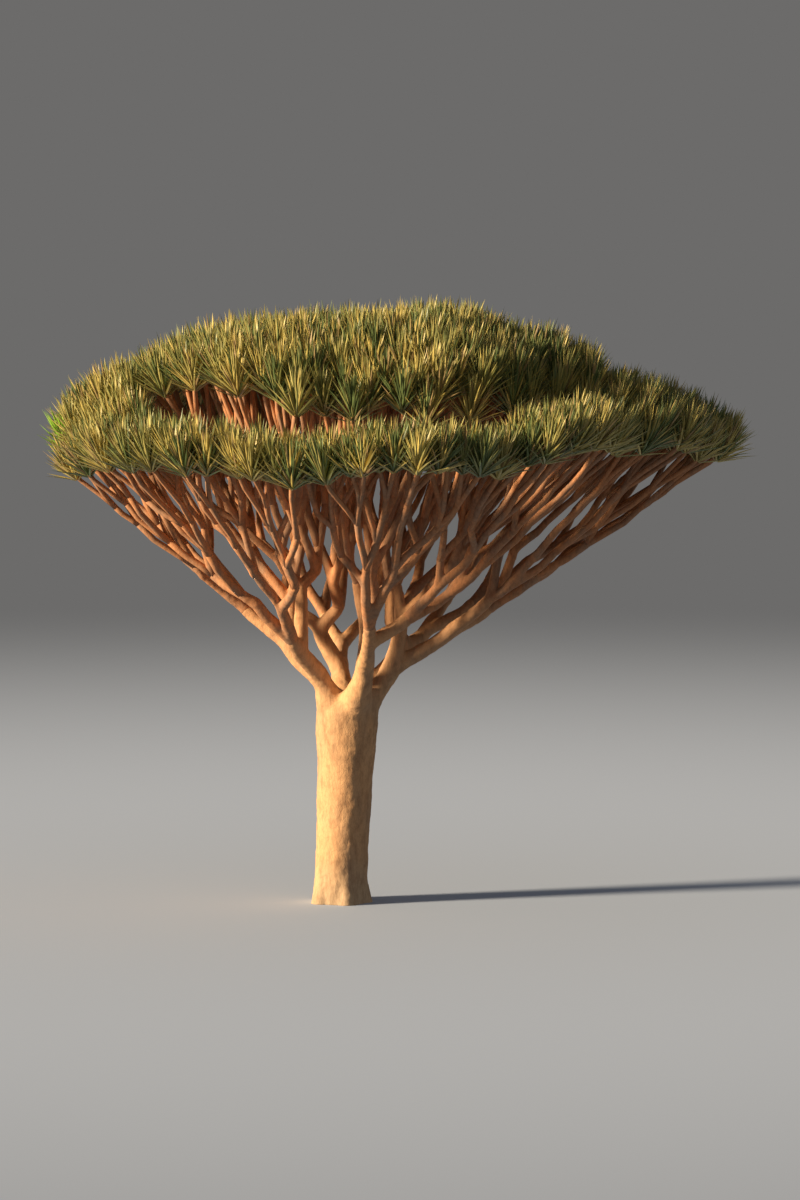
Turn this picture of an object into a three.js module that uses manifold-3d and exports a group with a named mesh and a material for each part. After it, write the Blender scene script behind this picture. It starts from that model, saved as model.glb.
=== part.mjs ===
// A dragon blood tree: a stout upright trunk, five boughs that fork in twos like the ribs of an umbrella,
// and a shallow dome of stiff leaves that stand in masses on the ends of the boughs.
// Millimetres, +Z up. The origin is the middle of the flat cut under the trunk, at ground level.
import * as THREE from "three";
import { mergeVertices } from "three/addons/utils/BufferGeometryUtils.js";
import Module from "manifold-3d";

const wasm = await Module();
wasm.setup();

const UP = new THREE.Vector3(0, 0, 1);
const GOLDEN_ANGLE = Math.PI * (3 - Math.sqrt(5));
const degrees = THREE.MathUtils.degToRad;
const { lerp } = THREE.MathUtils;

const CLEARANCE = 0.3; // left between pieces that meet

// The trunk: waisted a little above the foot, and widening again towards the head that the boughs leave from.
const FORK_HEIGHT = 2200;
const TRUNK_LEAN = 80; // how far the head stands to the right of the foot
const TRUNK_WAIST = 276; // radius
const TRUNK_HEAD = 332; // radius of the rounded head
const TRUNK_DOME = 180; // how far the head rises above the focus
const FOOT_FLARE = 62; // how far the foot stands out at the ground
const FOOT_FLARE_HEIGHT = 150;
const FOOT_LOBES = 5; // shallow buttresses round the foot
const LOBE_DEPTH = 0.8; // how deep the hollows between them are, as a share of the flare
const TRUNK_SIDES = 15;
// How far the radius is beyond the waist's, and at what height.
const TRUNK_RINGS = [[14, 0], [12, 60], [10, 130], [5, 260], [0, 560], [8, 1050], [24, 1500], [48, 1820]];
const HEAD_RINGS = [-8, 16, 38, 62].map(degrees); // round the head, above the level

// The point from which the whole crown fans out, inside the head of the trunk.
const FOCUS = new THREE.Vector3(TRUNK_LEAN, 0, FORK_HEIGHT - 150);

// The crown: the surface that the rosettes of leaves stand on, a dome whose middle is right of the trunk.
const CROWN_MIDDLE = new THREE.Vector2(640, 150);
const CROWN_REACH = 3600; // from the crown's middle to its outermost rosettes
const RIM_HEIGHT = 4680; // height of the outermost rosettes
const RIM_TILT = 60; // how much higher the rim is on the right, and lower on the left
const DOME_TOP = 5900;
const DOME_FULLNESS = 2.1; // a higher power keeps the dome high for longer on the way out
const DOME_BLUNTNESS = 1.1; // a lower power makes it fall more steeply at the rim
const RIGHT_FULLNESS = 0.1; // added on the right and taken away on the left
const RIGHT_BLUNTNESS = 0.5;
const ROSETTES = 560;
const ROSETTE_SCATTER = 65; // how far a rosette strays from an even spacing
// Where the rim draws in, by a share of its reach, and up.
const DENT = { azimuth: degrees(-38), width: degrees(30), depth: 0.15, lift: 200 };
// A tier of the crown stands apart here, flatter than the dome, with a gap between them.
const TIER = {
  azimuth: degrees(-102),
  gapWidth: degrees(50),
  flatWidth: degrees(42),
  fade: degrees(28),
  share: 0.73,
  gap: 0.12,
  lift: 70,
  flatness: 0.85,
};
const MASS_CUSHION = 0.03; // how far the middle of a mass swells outwards, as a share of its distance

// The boughs and twigs.
const BOUGHS = 5;
// How far round each bough's sector begins, and the last one ends, as a share of the rosettes.
const SECTOR_EDGES = [0, 0.2, 0.37, 0.54, 0.75, 1];
const FIRST_AZIMUTH = degrees(-98); // where the first bough's sector begins
const BOUGH_OFFSET = 120; // how far from the middle of the trunk's head each bough starts
const BOUGH_STEEPNESS = 0.5; // rise for each length outwards, where a bough starts
const TWIG_RADIUS = 27;
const THICKENING = 0.3; // a limb that feeds n rosettes is n to this power times as thick as a twig
const FIRST_FORK = 0.13; // where a bough first forks, as a share of the way from the focus to the dome
// A higher power brings the later forks closer to the dome: for limbs to the crown's middle, and to its rim.
const FORK_BEND = [0.64, 0.88];
const FORK_SCATTER = 0.055; // how far the first forks stray along their boughs, as a share of the same way
const UNEVEN_FORK = 0.16; // how unequal the two sides of a fork may be
const OUTWARD_FIRST = 0.5; // how much more than its true width a spread outwards counts, at a fork
const OUTLOOK = 1.15; // how soon limbs further out head for the outermost of their rosettes alone
const LEAST_OUTLOOK = 0.15; // the least share of its rosettes that a limb heads for
const KEPT_COURSE = 0.3; // how far a limb goes on along its parent's course from the focus
const KEPT_HEADING = 0.5; // how much of its parent's heading a limb leaves with, less the more it turns
const UPTURN = 0.3; // how strongly a limb's end turns up
const ROOM_AT_WALL = 1.3; // how many of its own radii a limb's end keeps clear of a neighbour's space
const SWAY = [0.025, 0.06]; // least and most that a limb bends aside, as a share of its length
const MASS_LEVEL = 3; // a mass of leaves stands on each limb of this level
const LAST_LEVEL = 5; // the finest twigs
const BOUGH_SIDES = [0, 8, 6, 6]; // sides of a bough of each level
const FIRST_RINGS = [[0, 1.7], [0.3, 1.6], [0.66, 1.16]]; // share of a first bough's length, of its radius
const FORK_RINGS = [[0, 0.86], [0.16, 1], [0.6, 0.98]]; // the same for its forks
const END_RINGS = [[0, 0.96], [0.65, 0.58]]; // share of a radius past the end, of the radius
const MASS_STEM_TAPER = 0.9; // radius of a last bough's end and of the stem that goes on from it, as a share
const STEM_LENGTH = 110;
const STEM_END_TAPER = 0.76;
const TWIG_SWELL = 1.1; // a three-sided twig looks as thick as a round one at this share of its radius
const TIP_SWELL = 1.35; // a twig's tip is a knob that the leaves leave from
const BRANCH_ROOT = 0.5; // radius of a twig's root, sunk in its parent, as a share of the parent's

// The leaves: each stands for a spray of the real ones.
const LEAF_LENGTH = 620;
const LEAF_WIDTH = 230;
const LEAF_THICKNESS = 60; // of a star of leaves at its middle, thinning to their tips
const LEAF_WIDEST = 0.42; // share of the length where the leaf is widest
const LEAF_ROOT_DEPTH = 40; // how deep the middle of a star of leaves is sunk in its twig
const LEAF_NOTCH = 85; // how far the leaves of a star are joined
const LEAVES_PER_TWIG = 6;
const LEAF_SECTOR = degrees(24); // half of the turn that one leaf may fill
const LEAF_SPREAD = [degrees(28), degrees(70)]; // least and most lean away from the twig's own line
const LEAF_TRIES = [[1, 1], [0.6, 1], [0.25, 0.9], [0, 0.7], [0, 0.45], [0, 0.2]]; // share of lean, of length
const LEAF_UPTURN = 0.5; // how strongly a star of leaves turns up from its twig's heading
const SHORTEST_LEAF = 0.86; // as a share of the length
const TURN_UNEVENNESS = 0.18; // how unevenly the leaves stand round a twig
const LEAN_UNEVENNESS = 0.6;
const LEAF_MARGIN = 4; // kept clear at the edge of a mass's space

// What each seeded draw is for, so that no two uses share a number.
const DRAW = {
  fork: 1,
  split: 2,
  swayTurn: 3,
  swaySize: 4,
  scatterTurn: 5,
  scatterSize: 6,
  leafTurn: 10,
  leafLean: 20,
  leafSize: 30,
};

/** A number from 0 to 1, always the same for one limb or rosette and one use. */
function draw(id, use) {
  let h = (Math.imul(id, 0x9e3779b1) ^ Math.imul(use, 0x85ebca6b)) >>> 0;
  h = Math.imul(h ^ (h >>> 15), 0x2c1b3c6d) >>> 0;
  h = Math.imul(h ^ (h >>> 12), 0x297a2d39) >>> 0;
  return ((h ^ (h >>> 15)) >>> 0) / 2 ** 32;
}

/** The smallest angle between two azimuths. */
function angleApart(a, b) {
  return Math.abs(Math.atan2(Math.sin(a - b), Math.cos(a - b)));
}

/** How much of the tier's gap or flatness there is at an azimuth of the crown, from 0 to 1. */
function tierStrength(azimuth, width) {
  return THREE.MathUtils.smoothstep(width + TIER.fade - angleApart(azimuth, TIER.azimuth), 0, TIER.fade);
}

/** How much of the dent there is at an azimuth of the crown, from 0 to 1. */
function dentAt(azimuth) {
  const off = angleApart(azimuth, DENT.azimuth) / DENT.width;
  return Math.exp(-off * off);
}

/**
 * Height of the dome at a share of its reach: blunt on the left, falling like a cone on the right. The last
 * number says how far it is a part of the tier, from 0 to 1.
 */
function domeHeight(share, azimuth, tier) {
  const side = Math.cos(azimuth);
  const fullness = DOME_FULLNESS + RIGHT_FULLNESS * side;
  const bluntness = DOME_BLUNTNESS + RIGHT_BLUNTNESS * side;
  const rim = RIM_HEIGHT + RIM_TILT * side + DENT.lift * dentAt(azimuth);
  const rise = (1 - share ** fullness) ** bluntness;
  return lerp(rim, DOME_TOP, rise * (1 - TIER.flatness * tier)) + TIER.lift * tier;
}

/** The middles of all the rosettes, spread evenly over the dome by the golden angle. */
function rosettePlaces() {
  const places = [];
  for (let i = 0; i < ROSETTES; i++) {
    const azimuth = i * GOLDEN_ANGLE;
    const evenShare = Math.sqrt((i + 0.5) / ROSETTES);
    const isLower = evenShare > TIER.share;
    const halfGap = (TIER.gap * tierStrength(azimuth, TIER.gapWidth)) / 2;
    const share = isLower
      ? lerp(TIER.share + halfGap, 1, (evenShare - TIER.share) / (1 - TIER.share))
      : lerp(0, TIER.share - halfGap, evenShare / TIER.share);
    const reach = CROWN_REACH * (1 - DENT.depth * dentAt(azimuth)) * share;
    const turn = draw(i, DRAW.scatterTurn) * 2 * Math.PI;
    const stray = draw(i, DRAW.scatterSize) * ROSETTE_SCATTER;
    places.push(new THREE.Vector3(
      CROWN_MIDDLE.x + Math.cos(azimuth) * reach + Math.cos(turn) * stray,
      CROWN_MIDDLE.y + Math.sin(azimuth) * reach + Math.sin(turn) * stray,
      domeHeight(share, azimuth, isLower ? tierStrength(azimuth, TIER.flatWidth) : 0),
    ));
  }
  return places;
}

/** The mean of some points. */
function meanOf(points) {
  const sum = new THREE.Vector3();
  points.forEach((point) => sum.add(point));
  return sum.divideScalar(points.length);
}

/** Radius of a limb that feeds this many rosettes. */
function limbRadius(count) {
  return TWIG_RADIUS * count ** THICKENING;
}

/** How far out from the crown's middle a place is, as a share of its reach. */
function outness(place) {
  return Math.hypot(place.x - CROWN_MIDDLE.x, place.y - CROWN_MIDDLE.y) / CROWN_REACH;
}

/**
 * Share of the way from the focus to the dome at which a limb forks: sooner the more rosettes it feeds, and
 * the nearer to the crown's middle the place is that it heads for.
 */
function forkShare(count, id, target) {
  const size = Math.log(count) / Math.log(ROSETTES / BOUGHS);
  const scatter = FORK_SCATTER * (2 * draw(id, DRAW.fork) - 1);
  const bend = lerp(FORK_BEND[0], FORK_BEND[1], Math.min(outness(target), 1));
  return 1 - (1 - FIRST_FORK) * size ** bend + scatter * size;
}

/** The place that a limb heads for: amid its outermost rosettes, of more of them further in. */
function targetOf(rosettes) {
  const inwards = [...rosettes].sort((a, b) => outness(b) - outness(a));
  const share = Math.max(1 - OUTLOOK * outness(meanOf(rosettes)), LEAST_OUTLOOK);
  const rays = inwards.slice(0, Math.ceil(inwards.length * share)).map((place) => place.clone().sub(FOCUS));
  const middle = meanOf(rays);
  const reach = rays.reduce((sum, ray) => sum + Math.hypot(ray.x, ray.y), 0) / rays.length;
  const stretch = reach / Math.hypot(middle.x, middle.y);
  return middle.multiply(new THREE.Vector3(stretch, stretch, 1)).add(FOCUS);
}

/** Cuts a limb's rosettes in two by a plane through the focus, across the way that they spread most. */
function splitRosettes(rosettes, id) {
  const mean = meanOf(rosettes);
  const middle = mean.clone().sub(FOCUS);
  const outward = new THREE.Vector3(middle.x, middle.y, 0).normalize();
  let xx = 0;
  let xy = 0;
  let yy = 0;
  for (const place of rosettes) {
    const off = place.clone().sub(mean);
    off.addScaledVector(outward, OUTWARD_FIRST * off.dot(outward));
    xx += off.x * off.x;
    xy += off.x * off.y;
    yy += off.y * off.y;
  }
  const turn = 0.5 * Math.atan2(2 * xy, xx - yy);
  const across = new THREE.Vector3(Math.cos(turn), Math.sin(turn), 0);
  const sorted = rosettes
    .map((place) => {
      const ray = place.clone().sub(FOCUS);
      return { place, key: ray.dot(across) / ray.dot(middle) };
    })
    .sort((a, b) => a.key - b.key);
  const wanted = Math.round(sorted.length * (0.5 + UNEVEN_FORK * (draw(id, DRAW.split) - 0.5)));
  const count = Math.min(Math.max(wanted, 1), sorted.length - 1);
  const cut = (sorted[count - 1].key + sorted[count].key) / 2;
  const wall = across.addScaledVector(middle, -cut).normalize();
  const places = sorted.map((item) => item.place);
  return [
    { rosettes: places.slice(0, count), wall: wall.clone().negate() },
    { rosettes: places.slice(count), wall },
  ];
}

/** Swells a mass's rosettes outwards from the focus, most in the middle, so that it stands as a cushion. */
function swellIntoCushion(rosettes) {
  const middle = meanOf(rosettes).sub(FOCUS).normalize();
  const rays = rosettes.map((place) => place.clone().sub(FOCUS));
  const widest = Math.max(...rays.map((ray) => ray.angleTo(middle)));
  return rays.map((ray) => {
    const off = ray.angleTo(middle) / widest;
    return ray.multiplyScalar(1 + MASS_CUSHION * (1 - 2 * off * off)).add(FOCUS);
  });
}

/** A limb and all that grows from it, as a tree of curves. Its walls are the planes that bound its space. */
function growLimb({ id, name, level, rosettes, start, heading, walls }) {
  const places = level === MASS_LEVEL ? swellIntoCushion(rosettes) : rosettes;
  const isLast = level === LAST_LEVEL || places.length === 1;
  const radius = limbRadius(places.length);
  const target = isLast ? meanOf(places) : targetOf(places);
  const end = FOCUS.clone().lerp(target, isLast ? 1 : forkShare(places.length, id, target));
  if (level > 1 && !isLast) {
    const onward = start.clone().sub(FOCUS).multiplyScalar((end.z - FOCUS.z) / (start.z - FOCUS.z));
    end.lerp(onward.add(FOCUS), KEPT_COURSE);
  }
  for (const wall of walls) {
    const room = wall.dot(end) - wall.dot(FOCUS) - radius * ROOM_AT_WALL;
    if (room < 0) end.addScaledVector(wall, -room);
  }
  const chord = end.clone().sub(start);
  const length = chord.length();
  const aim = chord.clone().normalize();
  const leaving = aim.clone().lerp(heading, KEPT_HEADING * Math.max(aim.dot(heading), 0)).normalize();
  const arriving = aim.clone().addScaledVector(UP, UPTURN).normalize();
  const turn = draw(id, DRAW.swayTurn) * 2 * Math.PI;
  const sideways = new THREE.Vector3(Math.cos(turn), Math.sin(turn), 0).cross(aim);
  sideways.multiplyScalar(length * lerp(SWAY[0], SWAY[1], draw(id, DRAW.swaySize)));
  const curve = new THREE.CubicBezierCurve3(
    start.clone(),
    start.clone().addScaledVector(leaving, length / 3).add(sideways),
    end.clone().addScaledVector(arriving, -length / 3).add(sideways),
    end,
  );
  const limb = { id, name, level, walls, curve, length, arriving, radius, forks: [] };
  if (!isLast) {
    limb.forks = splitRosettes(places, id).map((half, side) => growLimb({
      id: 2 * id + side,
      name: name + "ab"[side],
      level: level + 1,
      rosettes: half.rosettes,
      start: end,
      heading: arriving,
      walls: [...walls, half.wall],
    }));
  }
  return limb;
}

/** The boughs, one for each sector round the trunk. */
function growBoughs() {
  const sorted = rosettePlaces()
    .map((place) => {
      const azimuth = Math.atan2(place.y - FOCUS.y, place.x - FOCUS.x) - FIRST_AZIMUTH;
      return { place, azimuth: THREE.MathUtils.euclideanModulo(azimuth, 2 * Math.PI) };
    })
    .sort((a, b) => a.azimuth - b.azimuth);
  const counts = SECTOR_EDGES.map((share) => Math.round(ROSETTES * share));
  const edge = (index) => {
    if (index % BOUGHS === 0) return FIRST_AZIMUTH + (index / BOUGHS) * 2 * Math.PI;
    return FIRST_AZIMUTH + (sorted[counts[index] - 1].azimuth + sorted[counts[index]].azimuth) / 2;
  };
  return Array.from({ length: BOUGHS }, (_, index) => {
    const azimuth = (edge(index) + edge(index + 1)) / 2;
    const outward = new THREE.Vector3(Math.cos(azimuth), Math.sin(azimuth), 0);
    return growLimb({
      id: BOUGHS + index,
      name: `${index + 1}`,
      level: 1,
      rosettes: sorted.slice(counts[index], counts[index + 1]).map((item) => item.place),
      start: FOCUS.clone().addScaledVector(outward, BOUGH_OFFSET),
      heading: outward.clone().addScaledVector(UP, BOUGH_STEEPNESS).normalize(),
      walls: [
        new THREE.Vector3(-Math.sin(edge(index)), Math.cos(edge(index)), 0),
        new THREE.Vector3(Math.sin(edge(index + 1)), -Math.cos(edge(index + 1)), 0),
      ],
    });
  });
}

/** A solid for manifold-3d from a closed three.js geometry. */
function solidOf(geometry) {
  const bare = geometry.clone();
  bare.deleteAttribute("normal");
  bare.deleteAttribute("uv");
  const merged = mergeVertices(bare, 1e-3);
  const corners = [];
  const index = merged.index.array;
  for (let i = 0; i < index.length; i += 3) {
    const [a, b, c] = index.subarray(i, i + 3);
    if (a !== b && b !== c && c !== a) corners.push(a, b, c);
  }
  return new wasm.Manifold(new wasm.Mesh({
    numProp: 3,
    vertProperties: merged.attributes.position.array,
    triVerts: new Uint32Array(corners),
  }));
}

/** A three.js geometry from a solid. */
function geometryOf(solid) {
  const mesh = solid.getMesh();
  return new THREE.BufferGeometry()
    .setAttribute("position", new THREE.BufferAttribute(new Float32Array(mesh.vertProperties), 3))
    .setIndex(new THREE.BufferAttribute(new Uint32Array(mesh.triVerts), 1));
}

/** The largest separate piece of a solid, so that a loose scrap of a cut is dropped. */
function largestPiece(solid) {
  return solid.decompose().reduce((best, piece) => (piece.volume() > best.volume() ? piece : best));
}

/** A place on a limb for a ring: a share of its length, running straight on past its end where over 1. */
function station(limb, along, radius) {
  const onCurve = Math.min(along, 1);
  const tangent = limb.curve.getTangent(onCurve);
  const centre = limb.curve.getPoint(onCurve).addScaledVector(tangent, (along - onCurve) * limb.length);
  return { centre, tangent, radius };
}

/** A level direction square to a limb, that its rings are turned by. */
function sideOf(limb) {
  const side = UP.clone().cross(limb.arriving);
  return side.length() > 0.1 ? side.normalize() : new THREE.Vector3(1, 0, 0);
}

/** A cylinder whose rings are moved onto a line of stations. */
function tubeSolid(stations, side, sides) {
  const spans = stations.length - 1;
  const geometry = new THREE.CylinderGeometry(1, 1, spans, sides, spans);
  const position = geometry.getAttribute("position");
  const vertex = new THREE.Vector3();
  for (let i = 0; i < position.count; i++) {
    vertex.fromBufferAttribute(position, i);
    const { centre, tangent, radius } = stations[Math.round(vertex.y + spans / 2)];
    const normal = side.clone().cross(tangent).normalize();
    const binormal = normal.clone().cross(tangent);
    const point = centre.clone().addScaledVector(normal, vertex.x * radius);
    point.addScaledVector(binormal, vertex.z * radius);
    position.setXYZ(i, point.x, point.y, point.z);
  }
  return solidOf(geometry);
}

/** The trunk, with an extra thickness for cutting the boughs clear of it. */
function trunkSolid(extra = 0) {
  const waist = TRUNK_WAIST + extra;
  const head = TRUNK_HEAD + extra;
  const dome = TRUNK_DOME + extra;
  const profile = [
    [0, 0],
    ...TRUNK_RINGS.map(([beyond, height]) => [waist + beyond, height]),
    ...HEAD_RINGS.map((turn) => [head * Math.cos(turn), FOCUS.z + dome * Math.sin(turn)]),
    [0, FOCUS.z + dome],
  ];
  const points = profile.map(([radius, height]) => new THREE.Vector2(radius, height));
  const geometry = new THREE.LatheGeometry(points, TRUNK_SIDES);
  geometry.rotateX(Math.PI / 2);
  const position = geometry.getAttribute("position");
  for (let i = 0; i < position.count; i++) {
    const [x, y, z] = [position.getX(i), position.getY(i), position.getZ(i)];
    const radius = Math.hypot(x, y);
    const azimuth = Math.atan2(y, x);
    const lobes = 1 - (LOBE_DEPTH * (1 - Math.cos(FOOT_LOBES * azimuth))) / 2;
    const flare = FOOT_FLARE * lobes * Math.exp(-z / FOOT_FLARE_HEIGHT);
    const swell = radius > 1 ? 1 + flare / radius : 1;
    position.setXYZ(i, x * swell + (TRUNK_LEAN * z) / FOCUS.z, y * swell, z);
  }
  return solidOf(geometry);
}

/**
 * The tube of a bough: drawn in where it leaves its parent, tapering, and rounded off where it forks. The
 * extra thickness is for cutting its own forks clear of it.
 */
function boughTube(limb, extra = 0) {
  const past = (limb.radius + 2 * extra) / limb.length;
  const rings = [...(limb.level === 1 ? FIRST_RINGS : FORK_RINGS)];
  if (limb.level === MASS_LEVEL) rings.push([1, MASS_STEM_TAPER]);
  else END_RINGS.forEach(([beyond, share]) => rings.push([1 + beyond * past, share]));
  const stations = rings.map(([along, share]) => station(limb, along, share * limb.radius + extra));
  return tubeSolid(stations, sideOf(limb), BOUGH_SIDES[limb.level]);
}

/** A bough or one of its forks, cut clear of its parent and of its neighbours. */
function limbSolid(limb, parentSolid, cuts) {
  let solid = boughTube(limb).subtract(parentSolid);
  for (const { normal, through } of cuts) {
    solid = solid.trimByPlane(normal.toArray(), normal.dot(through) + CLEARANCE / 2);
  }
  return largestPiece(solid);
}

/** Whether a point lies in a limb's space, by this margin or more. */
function isInSpace(point, walls, margin) {
  const ray = point.clone().sub(FOCUS);
  return walls.every((wall) => wall.dot(ray) >= margin);
}

/** One leaf's outline: its two widest points and, between them, its tip. */
function leafOutline(root, line, aside, lean, length) {
  const along = line.clone().multiplyScalar(Math.cos(lean)).addScaledVector(aside, Math.sin(lean));
  const side = line.clone().cross(aside);
  const widest = root.clone().addScaledVector(along, length * LEAF_WIDEST);
  const room = length * LEAF_WIDEST * Math.sin(lean) * Math.tan(LEAF_SECTOR);
  const halfWidth = Math.min(LEAF_WIDTH / 2, room);
  return {
    along,
    points: [
      widest.clone().addScaledVector(side, -halfWidth),
      root.clone().addScaledVector(along, length),
      widest.clone().addScaledVector(side, halfWidth),
    ],
  };
}

/**
 * The leaves round the end of one twig, as a closed star whose points are the leaves and whose middle is
 * sunk in the twig. A leaf that would leave the space leans less, and then is shorter.
 */
function leavesOf(twig, walls) {
  const line = twig.arriving.clone().addScaledVector(UP, LEAF_UPTURN).normalize();
  const root = twig.curve.getPoint(1).addScaledVector(twig.arriving, -LEAF_ROOT_DEPTH);
  const away = new THREE.Vector3(root.x - CROWN_MIDDLE.x, root.y - CROWN_MIDDLE.y, 0);
  const sideways = line.clone().cross(away).normalize();
  const outward = sideways.clone().cross(line);
  const leaves = [];
  for (let i = 0; i < LEAVES_PER_TWIG; i++) {
    const uneven = TURN_UNEVENNESS * (draw(twig.id, DRAW.leafTurn + i) - 0.5);
    const turn = ((i + uneven) * 2 * Math.PI) / LEAVES_PER_TWIG;
    const aside = outward.clone().multiplyScalar(Math.cos(turn)).addScaledVector(sideways, Math.sin(turn));
    const most = lerp(LEAF_SPREAD[1], LEAF_SPREAD[0], LEAN_UNEVENNESS * draw(twig.id, DRAW.leafLean + i));
    const length = LEAF_LENGTH * lerp(SHORTEST_LEAF, 1, draw(twig.id, DRAW.leafSize + i));
    const leaf = LEAF_TRIES
      .map(([spread, size]) => {
        const lean = lerp(LEAF_SPREAD[0], most, spread);
        return leafOutline(root, line, aside, lean, length * size);
      })
      .find(({ points }) => points.every((point) => isInSpace(point, walls, LEAF_MARGIN)));
    if (leaf) leaves.push(leaf);
  }
  if (leaves.length < LEAVES_PER_TWIG) return [];
  const ring = leaves.flatMap(({ along, points }, i) => {
    const between = along.clone().add(leaves[(i + 1) % leaves.length].along).normalize();
    return [...points, root.clone().addScaledVector(between, LEAF_NOTCH)];
  });
  const top = root.clone().addScaledVector(line, LEAF_THICKNESS);
  const geometry = new THREE.SphereGeometry(1, ring.length, 2); // two poles and, between them, the ring
  const position = geometry.getAttribute("position");
  for (let i = 0; i < position.count; i++) {
    const pole = Math.round(position.getY(i));
    const point = { 1: top, 0: ring[(i % (ring.length + 1)) % ring.length], [-1]: root }[pole];
    position.setXYZ(i, point.x, point.y, point.z);
  }
  return [solidOf(geometry)];
}

/**
 * A twig inside a mass with all that grows from it, as a list of solids: one three-sided tube that goes on
 * through the first of each two forks to a tip, the others growing from its side in the same way.
 */
function twigSolids(first, root, walls) {
  const stations = [root, station(first, 0.3, first.radius * TWIG_SWELL)];
  const branches = [];
  let twig = first;
  while (twig.forks.length > 0) {
    stations.push(station(twig, 1, twig.radius * TWIG_SWELL));
    const [next, branch] = twig.forks;
    branches.push(...twigSolids(branch, station(branch, 0, twig.radius * BRANCH_ROOT), walls));
    twig = next;
  }
  stations.push(station(twig, 1, twig.radius * TIP_SWELL));
  return [tubeSolid(stations, sideOf(first), 3), ...leavesOf(twig, walls), ...branches];
}

/** A mass of leaves: a stem that goes straight on from its bough's end, with forking twigs and leaves. */
function massSolid(limb) {
  const radius = limb.radius * MASS_STEM_TAPER;
  const past = (length) => 1 + length / limb.length;
  const stem = tubeSolid([
    station(limb, past(CLEARANCE), radius),
    station(limb, past(STEM_LENGTH), limb.radius * STEM_END_TAPER),
  ], sideOf(limb), BOUGH_SIDES[limb.level]);
  const root = station(limb, past(STEM_LENGTH / 3), radius * BRANCH_ROOT);
  const twigs = limb.forks.flatMap((fork) => twigSolids(fork, root, limb.walls));
  return largestPiece(wasm.Manifold.union([stem, ...twigs]));
}

const bark = new THREE.MeshStandardMaterial({ name: "bark", color: 0xc9956b, roughness: 0.85 });
const foliage = new THREE.MeshStandardMaterial({ name: "foliage", color: 0x66702f, roughness: 0.6 });
const tree = new THREE.Group();

/** Adds one named piece to the tree. */
function addPiece(name, solid, material) {
  const mesh = new THREE.Mesh(geometryOf(solid), material);
  mesh.name = name;
  tree.add(mesh);
}

/** Adds a limb, its forks and the masses at their ends. */
function addLimb(limb, parentSolid, cuts) {
  addPiece(`bough_${limb.name}`, limbSolid(limb, parentSolid, cuts), bark);
  if (limb.level === MASS_LEVEL) {
    addPiece(`leaf_mass_${limb.name}`, massSolid(limb), foliage);
    return;
  }
  const grown = boughTube(limb, CLEARANCE);
  const through = limb.curve.getPoint(1);
  const [first, second] = limb.forks.map((fork) => fork.curve.getTangent(0.3));
  const apart = second.clone().sub(first).normalize();
  addLimb(limb.forks[0], grown, [{ normal: apart.clone().negate(), through }]);
  addLimb(limb.forks[1], grown, [{ normal: apart, through }]);
}

addPiece("trunk", trunkSolid(), bark);
const grownTrunk = trunkSolid(CLEARANCE);
for (const bough of growBoughs()) {
  addLimb(bough, grownTrunk, bough.walls.map((normal) => ({ normal, through: FOCUS })));
}

export default tree;
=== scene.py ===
"""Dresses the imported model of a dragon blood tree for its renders.

The model holds the trunk, the boughs as far as their third forks, and plain masses of foliage. Here the
seeded rule that grew them is written again, in metres, and carried on to single rosettes of leaves. One
fused mesh with the bark's relief stands for the trunk and boughs, and branches, twigs and leaves stand for
the masses.
"""

from __future__ import annotations

import logging
import math
from collections.abc import Iterator, Sequence
from dataclasses import dataclass, field
from enum import Enum, IntEnum

import bpy
import numpy as np
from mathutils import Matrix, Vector

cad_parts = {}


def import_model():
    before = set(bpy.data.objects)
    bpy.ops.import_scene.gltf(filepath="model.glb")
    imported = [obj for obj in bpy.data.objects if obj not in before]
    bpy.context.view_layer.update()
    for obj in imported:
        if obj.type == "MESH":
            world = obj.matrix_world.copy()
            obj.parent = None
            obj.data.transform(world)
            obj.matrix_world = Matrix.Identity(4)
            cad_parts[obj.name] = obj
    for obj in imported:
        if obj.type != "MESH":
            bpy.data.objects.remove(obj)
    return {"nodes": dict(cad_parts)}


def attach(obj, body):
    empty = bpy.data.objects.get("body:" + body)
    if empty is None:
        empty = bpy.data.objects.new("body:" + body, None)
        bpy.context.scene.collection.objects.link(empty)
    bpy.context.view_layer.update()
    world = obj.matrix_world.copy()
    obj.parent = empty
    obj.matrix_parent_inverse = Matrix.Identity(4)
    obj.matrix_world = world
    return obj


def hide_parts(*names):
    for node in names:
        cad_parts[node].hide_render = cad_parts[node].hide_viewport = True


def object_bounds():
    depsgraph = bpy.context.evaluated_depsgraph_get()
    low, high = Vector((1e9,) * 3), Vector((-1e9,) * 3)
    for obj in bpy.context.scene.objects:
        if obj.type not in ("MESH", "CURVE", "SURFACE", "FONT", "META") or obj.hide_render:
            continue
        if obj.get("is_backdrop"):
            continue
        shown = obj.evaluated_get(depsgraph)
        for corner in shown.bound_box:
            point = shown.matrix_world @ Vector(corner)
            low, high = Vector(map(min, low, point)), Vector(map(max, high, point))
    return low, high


LOG = logging.getLogger("dragon_blood_tree")
MILLIMETRE = 0.001
UP = Vector((0, 0, 1))
# A colour mix's two inputs and its output go by number, because other sockets share their names.
MIX_UNDER, MIX_OVER, MIX_RESULT = 6, 7, 2
WAVE_LENGTH = math.pi / 10  # of the wave texture at a scale of 1, in metres
GOLDEN_ANGLE = math.pi * (3 - math.sqrt(5))
# The seeded draws are worked out in 32 bits, with odd factors and shifts that mix a number's bits well.
DRAWS = 2**32
LAST_BITS = np.uint64(DRAWS - 1)
KEY_FACTOR = 0x9E3779B1
USE_FACTOR = 0x85EBCA6B
MIXING = ((15, 0x2C1B3C6D), (12, 0x297A2D39))
LAST_SHIFT = 15
# How many radii past a limb's end, and how thick it is there: a ball, in which its forks take root.
ROUND_END = ((0.3, 0.84), (0.6, 0.64), (0.78, 0.36))


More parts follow.
